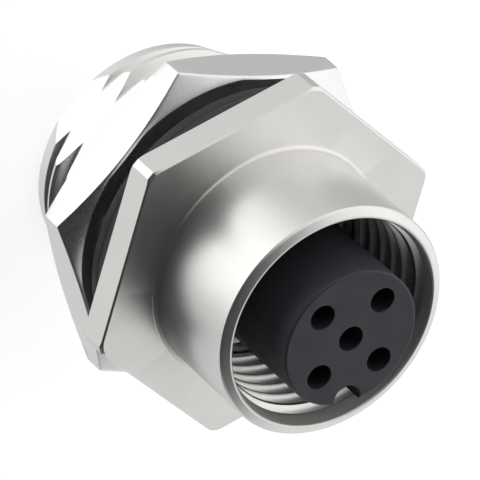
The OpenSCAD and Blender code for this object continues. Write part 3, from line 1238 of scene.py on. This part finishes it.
@dataclass
class Insert:
    """The moulded insert with its coding groove and contact holes."""

    nose_r: float = 4.1
    nose_z: float = 21.23
    edge: float = 0.14
    pilot_r: float = 4.4
    floor_z: float = 11.2
    web_z: float = 10.0
    shoulder_r: float = 6.0
    shoulder_z: float = 7.7
    shoulder_soft: float = 0.1
    soft: float = 0.05
    groove_r: float = 5.06
    groove_half: float = 0.6
    circle_r: float = 2.65
    hole_r: float = 0.725
    hole_edge: float = 0.07
    hole_knee: float = 0.3
    collar_r: float = 1.05
    collar_t: float = 0.5
    key_r: float = 0.8
    key_centre: float = 3.8
    key_deg: float = -45.0
    key_start: float = 0.4
    key_bevel: tuple[float, float] = (0.05, 0.06)
    body_points: int = 180
    hole_points: int = 48
    key_points: int = 64
    sharp_deg: float = 35.0

    def _body(self) -> bpy.types.Object:
        """Builds the turned body.

        Returns:
            The body, without its holes.
        """
        middle = (self.shoulder_z + self.web_z) / 2
        low, high = middle - self.groove_half, middle + self.groove_half
        # The first and last points only give the rounded edges their direction
        profile = rounded([(0.0, self.shoulder_z, 0), (self.shoulder_r, self.shoulder_z, self.shoulder_soft),
                           (self.shoulder_r, low, self.soft), (self.groove_r, low, self.soft),
                           (self.groove_r, high, self.soft), (self.shoulder_r, high, self.soft),
                           (self.shoulder_r, self.web_z, self.shoulder_soft),
                           (self.pilot_r, self.web_z, self.soft), (self.pilot_r, self.floor_z, self.soft),
                           (self.nose_r, self.floor_z, self.soft),
                           (self.nose_r, self.nose_z, self.edge), (0.0, self.nose_z, 0)], 5)
        return turned_solid("insert_moulded", profile[1:-1], (0.0, 0.0), self.body_points)

    def _holes(self) -> list[bpy.types.Object]:
        """Builds what cuts the five holes, each with its collar's seat and its broken edge.

        Returns:
            Five solids.
        """
        top, seat, wide = self.nose_z, self.shoulder_z + self.collar_t, self.hole_r + self.hole_edge
        knee = self.hole_knee * self.hole_edge
        profile = [(self.collar_r, self.shoulder_z - PAST_MM), (self.collar_r, seat), (self.hole_r, seat),
                   (self.hole_r, top - self.hole_edge), (self.hole_r + knee, top - knee),
                   (wide, top), (wide, top + PAST_MM)]
        spots = [tuple(self.circle_r * ray(k * math.pi / 2)) for k in range(4)] + [(0.0, 0.0)]
        return [turned_solid(f"hole_{i}", profile, at, self.hole_points) for i, at in enumerate(spots)]

    def _key(self) -> bpy.types.Object:
        """Builds what cuts the coding groove.

        Returns:
            The solid.
        """
        top, wide = self.nose_z, self.key_r + self.key_bevel[0]
        profile = [(self.key_r, self.floor_z + self.key_start), (self.key_r, top - self.key_bevel[1]),
                   (wide, top), (wide, top + PAST_MM)]
        at = tuple(self.key_centre * ray(math.radians(self.key_deg)))
        return turned_solid("key", profile, at, self.key_points)

    def build(self, finish: bpy.types.Material) -> bpy.types.Object:
        """Builds the insert.

        Args:
            finish: its plastic.

        Returns:
            The insert as one closed mesh.
        """
        obj = self._body()
        cut_away(obj, [*self._holes(), self._key()])
        return shade(obj, finish, self.sharp_deg)


# Studio


@dataclass(frozen=True)
class Camera:
    """The camera of the photograph, as fitted on its circles and corners."""

    place: Point = (-228.2695, 15.3491, 242.1745)
    turn_deg: Point = (-33.446328, -31.387885, 47.885869)
    lens: float = 449.55
    sensor: float = 36.0
    near_m: float = 0.01
    far_m: float = 20.0

    def build(self) -> None:
        """Places the camera and makes it the scene's own."""
        data = bpy.data.cameras.new("photo_camera")
        data.lens = self.lens
        data.sensor_width = self.sensor
        data.sensor_fit = "HORIZONTAL"
        data.clip_start = self.near_m
        data.clip_end = self.far_m
        obj = put_in_scene("photo_camera", data)
        obj.location = Vector(self.place) * MM
        obj.rotation_euler = tuple(math.radians(turn) for turn in self.turn_deg)
        bpy.context.scene.camera = obj


@dataclass(frozen=True)
class Patch:
    """A round patch of the surroundings, placed by two angles in degrees.

    It has its full light within full_deg of its middle, and none of it beyond end_deg.
    """

    azimuth: float
    height: float
    light: float
    full_deg: float
    end_deg: float

    def over(self, desk: Desk, way: Socket, under: object) -> Socket:
        """Lays the patch over the light of the surroundings.

        Args:
            desk: the world's desk.
            way: the direction that is looked along.
            under: the light so far.

        Returns:
            The light with the patch.
        """
        around, above = math.radians(self.azimuth), math.radians(self.height)
        level = math.cos(above)
        dot = desk.add("ShaderNodeVectorMath", operation="DOT_PRODUCT")
        desk.feed(dot.inputs[0], way)
        dot.inputs[1].default_value = (level * math.cos(around), level * math.sin(around), math.sin(above))
        end, full = (math.cos(math.radians(turn)) for turn in (self.end_deg, self.full_deg))
        share = desk.ramp(dot.outputs["Value"], end, full)
        return desk.blend(share, under, (self.light, self.light, self.light))


@dataclass(frozen=True)
class Lamp:
    """The soft round lamp above the connector, with its places and size in metres."""

    place_m: Point = (0.35, 0.4, 0.6)
    aim_m: Point = (0.0, 0.0, 0.01)
    across_m: float = 0.5
    watts: float = 0.05

    def build(self) -> None:
        """Hangs the lamp and turns it to the connector."""
        data = bpy.data.lights.new("soft_lamp", "AREA")
        data.shape = "DISK"
        data.size = self.across_m
        data.energy = self.watts
        lamp = put_in_scene("soft_lamp", data)
        lamp.location = self.place_m
        lamp.rotation_euler = (Vector(self.aim_m) - lamp.location).to_track_quat("-Z", "Y").to_euler()


@dataclass(frozen=True)
class Studio:
    """A bright room with a dark side, over a white sweep that is lit most on the camera's side.

    The sweep gives way to the room between the two heights of the skyline, on a sphere of radius 1. The
    patches, the skyline and the plain lights of room and sweep were fitted by least squares to the metal in
    the photograph, so they hold for its view alone.
    """

    room_light: float = 0.851
    window: Patch = Patch(azimuth=63.4, height=16.0, light=1.10, full_deg=9.4, end_deg=64.7)
    dark_side: Patch = Patch(azimuth=-124.3, height=40.4, light=0.038, full_deg=46.7, end_deg=79.7)
    sweep_light: float = 0.674
    sweep_near: Patch = Patch(azimuth=-175.1, height=-26.3, light=1.416, full_deg=8.6, end_deg=53.4)
    sweep_far: Patch = Patch(azimuth=56.6, height=-39.2, light=0.523, full_deg=4.8, end_deg=38.2)
    under: Patch = Patch(azimuth=0.0, height=-90.0, light=0.844, full_deg=10.0, end_deg=35.0)
    skyline: tuple[float, float] = (-0.271, -0.118)
    seen_light: float = 0.72
    floor_half_m: float = 4.0
    floor_colour: Colour = (0.8, 0.8, 0.8)
    floor_roughness: float = 0.9

    def build(self) -> None:
        """Builds the world, the floor and the lamp."""
        self._world()
        self._floor()
        Lamp().build()

    @staticmethod
    def _lit(desk: Desk, way: Socket, plain_light: float, patches: Iterable[Patch]) -> object:
        """Lights one half of the surroundings: a plain light under patches.

        Args:
            desk: the world's desk.
            way: the direction that is looked along.
            plain_light: the light where no patch lies.
            patches: from the lowest to the one on top.

        Returns:
            The light of this half.
        """
        light: object = (plain_light, plain_light, plain_light)
        for patch in patches:
            light = patch.over(desk, way, light)
        return light

    def _world(self) -> None:
        """Builds the surroundings that the metal mirrors, white where the camera looks at them."""
        world = bpy.data.worlds.new("white_room")
        bpy.context.scene.world = world
        world.use_nodes = True
        desk = Desk(world.node_tree)
        way = desk.add("ShaderNodeTexCoord").outputs["Generated"]
        room = self._lit(desk, way, self.room_light, (self.window, self.dark_side))
        sweep = self._lit(desk, way, self.sweep_light, (self.sweep_near, self.sweep_far, self.under))
        colour = desk.blend(desk.ramp(desk.split(way)[2], *self.skyline), sweep, room)
        seen = desk.add("ShaderNodeLightPath").outputs["Is Camera Ray"]
        desk.feed(world.node_tree.nodes["Background"].inputs["Color"], desk.blend(seen, colour, WHITE))

    def _floor(self) -> None:
        """Builds the pale sweep: it keeps a faint shadow, and what mirrors it shows the lit surroundings."""
        mesh = bpy.data.meshes.new("floor")
        half = self.floor_half_m
        corners = [(-half, -half, 0), (half, -half, 0), (half, half, 0), (-half, half, 0)]
        mesh.from_pydata(corners, [], [(0, 1, 2, 3)])
        mesh.materials.append(self._sweep_paper())
        put_in_scene("floor", mesh)

    def _sweep_paper(self) -> bpy.types.Material:
        """Builds the sweep's material, which only the camera's own rays see.

        Returns:
            The material.
        """
        material, desk, skin = new_material("pale_sweep", self.floor_colour)
        skin.inputs["Base Color"].default_value = (*self.floor_colour, 1.0)
        skin.inputs["Roughness"].default_value = self.floor_roughness
        skin.inputs["Specular IOR Level"].default_value = 0.0
        glow = desk.add("ShaderNodeEmission")
        glow.inputs["Strength"].default_value = self.seen_light
        total = desk.add("ShaderNodeAddShader")
        desk.feed(total.inputs[0], skin.outputs[0])
        desk.feed(total.inputs[1], glow.outputs[0])
        seen = desk.add("ShaderNodeMixShader")
        desk.feed(seen.inputs[0], desk.add("ShaderNodeLightPath").outputs["Is Camera Ray"])
        desk.feed(seen.inputs[1], desk.add("ShaderNodeBsdfTransparent").outputs[0])
        desk.feed(seen.inputs[2], total.outputs[0])
        desk.feed(material.node_tree.nodes["Material Output"].inputs["Surface"], seen.outputs[0])
        return material


# The whole scene


def adopt(obj: bpy.types.Object, body: Body, node: str) -> None:
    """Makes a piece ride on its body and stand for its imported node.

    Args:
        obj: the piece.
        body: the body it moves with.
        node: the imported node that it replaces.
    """
    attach(obj, body.value)
    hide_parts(node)
    LOG.info("%s rides on %s for %s", obj.name, body.value, node)


def dress(node: str, material: bpy.types.Material) -> None:
    """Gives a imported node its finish.

    Args:
        node: the node's name.
        material: the finish.
    """
    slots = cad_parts[node].material_slots
    if not slots:
        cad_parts[node].data.materials.append(material)
    for slot in slots:
        slot.material = material
    LOG.info("%s keeps its packed shape, in %s", node, material.name)


def main() -> None:
    """Builds the pieces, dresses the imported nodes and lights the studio."""
    logging.basicConfig(level=logging.INFO, format="%(message)s")
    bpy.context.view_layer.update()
    bpy.context.scene.view_settings.view_transform = "Standard"
    Camera().build()
    effects = Effects()
    satin, bright, gold = (f.build(effects) for f in (SATIN_NICKEL, BRIGHT_NICKEL, GOLD))
    rubber, charcoal, dark = (f.build(effects) for f in (GASKET_RUBBER, INSERT_PLASTIC, RETAINER_PLASTIC))
    adopt(Housing().build(ThreadCutter(), satin), Body.CONNECTOR, "housing")
    adopt(LockNut().build(bright), Body.NUT, "lock_nut")
    adopt(Gasket().build(rubber), Body.CONNECTOR, "panel_gasket")
    adopt(Insert().build(charcoal), Body.CONNECTOR, "contact_insert")
    dress("insert_seal", rubber)
    dress("contact_retainer", dark)
    dress("retaining_ring", bright)
    for k in range(1, 6):
        dress(f"contact_{k}", gold)
    Studio().build()


if __name__ == "__main__":
    main()
